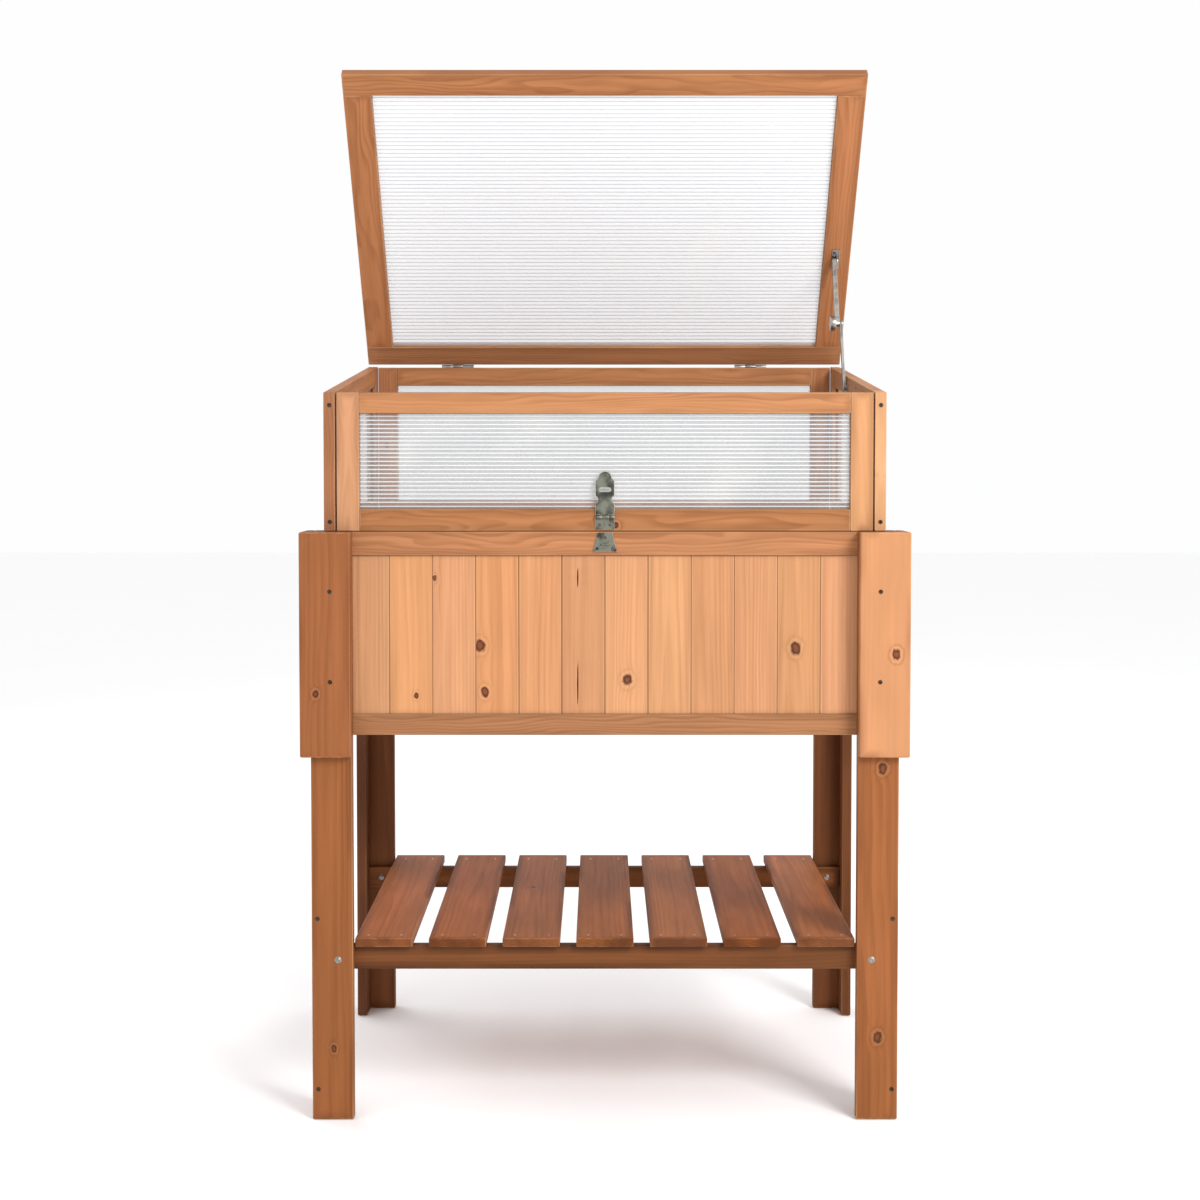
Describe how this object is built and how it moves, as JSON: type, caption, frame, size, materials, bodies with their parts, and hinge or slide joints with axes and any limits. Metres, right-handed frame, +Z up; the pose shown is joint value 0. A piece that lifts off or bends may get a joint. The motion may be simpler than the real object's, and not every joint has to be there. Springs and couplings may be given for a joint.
{
  "type": "cold frame",
  "caption": "Raised wooden planter on legs with a slatted shelf and a hinged, glazed cold frame on top, whose sloping lid is held open by a folding stay.",
  "frame": {"origin": "on the ground, under the middle of the stand", "axes": "+X to the object's right as seen from the front, +Y to the back, +Z up; the lid opens to the back"},
  "size_m": [0.8, 0.535, 1.4241],
  "materials": {
    "leg_wood": "matt stain",
    "frame_wood": "matt stain",
    "planks": "matt stain",
    "shelf_wood": "matt stain",
    "floor_wood": "bare",
    "polycarbonate": "translucent twin-wall sheet",
    "aged_metal": "dulled",
    "stay_metal": "zinc plated",
    "zinc_steel": "zinc plated"
  },
  "bodies": {
    "stand": {"leg_front_left": "leg_wood", "corner_cover_front_left": "leg_wood", "leg_front_right": "leg_wood", "corner_cover_front_right": "leg_wood", "leg_rear_left": "leg_wood", "corner_cover_rear_left": "leg_wood", "leg_rear_right": "leg_wood", "corner_cover_rear_right": "leg_wood", "planter_front_top_rail": "frame_wood", "planter_front_bottom_rail": "frame_wood", "planter_front_planks": "planks", "planter_rear_top_rail": "frame_wood", "planter_rear_bottom_rail": "frame_wood", "planter_rear_planks": "planks", "planter_left_top_rail": "frame_wood", "planter_left_bottom_rail": "frame_wood", "planter_left_planks": "planks", "planter_right_top_rail": "frame_wood", "planter_right_bottom_rail": "frame_wood", "planter_right_planks": "planks", "planter_floor_battens": "floor_wood", "planter_floor_boards": "floor_wood", "shelf_rails": "shelf_wood", "shelf_slats": "shelf_wood", "hasp_staple": "aged_metal", "frame_hinge_lower_leaves": "zinc_steel", "stand_screws": "zinc_steel", "shelf_bolts": "zinc_steel"},
    "cold_frame": {"frame_front_top_rail": "frame_wood", "frame_front_bottom_rail": "frame_wood", "frame_front_stiles": "frame_wood", "frame_front_pane": "polycarbonate", "frame_rear_top_rail": "frame_wood", "frame_rear_bottom_rail": "frame_wood", "frame_rear_stiles": "frame_wood", "frame_rear_pane": "polycarbonate", "frame_left_top_rail": "frame_wood", "frame_left_bottom_rail": "frame_wood", "frame_left_stiles": "frame_wood", "frame_left_pane": "polycarbonate", "frame_right_top_rail": "frame_wood", "frame_right_bottom_rail": "frame_wood", "frame_right_stiles": "frame_wood", "frame_right_pane": "polycarbonate", "frame_hinge_upper_leaves": "zinc_steel", "lid_hinge_lower_leaves": "zinc_steel", "hinge_pins": "zinc_steel", "hasp_base_leaf": "aged_metal", "stay_lower_bracket": "stay_metal", "frame_screws": "zinc_steel"},
    "lid": {"lid_front_rail": "frame_wood", "lid_rear_rail": "frame_wood", "lid_stiles": "frame_wood", "lid_pane": "polycarbonate", "lid_hinge_upper_leaves": "zinc_steel", "stay_upper_bracket": "stay_metal", "lid_screws": "zinc_steel"},
    "stay_lower_arm": {"stay_lower_arm": "stay_metal"},
    "stay_upper_arm": {"stay_upper_arm": "stay_metal"},
    "hasp_strap": {"hasp_strap": "aged_metal"}
  },
  "joints": [
    {"name": "frame_hinge", "type": "hinge", "parent": "stand", "child": "cold_frame", "pos_m": [0, 0.243, 0.78025], "axis": [-1, 0, 0], "range_deg": [0, 90]},
    {"name": "lid_hinge", "type": "hinge", "parent": "cold_frame", "child": "lid", "pos_m": [0, 0.243, 1.0196], "axis": [-1, 0, 0], "range_deg": [-59.65, 0]},
    {"name": "stay_foot_pivot", "type": "hinge", "parent": "cold_frame", "child": "stay_lower_arm", "pos_m": [0.351, 0.038, 0.979], "axis": [-1, 0, 0], "range_deg": [0, 109.97]},
    {"name": "stay_head_pivot", "type": "hinge", "parent": "lid", "child": "stay_upper_arm", "pos_m": [0.347, 0.11905, 1.17162], "axis": [-1, 0, 0], "range_deg": [-1.98, 0]},
    {"name": "hasp_pivot", "type": "hinge", "parent": "cold_frame", "child": "hasp_strap", "pos_m": [0, -0.2432, 0.799], "axis": [1, 0, 0], "range_deg": [0, 180]}
  ],
  "couplings": [
    {"joint": "stay_foot_pivot", "follows": "lid_hinge", "ratio": -1.8434},
    {"joint": "stay_head_pivot", "follows": "lid_hinge", "ratio": 0.03323}
  ]
}
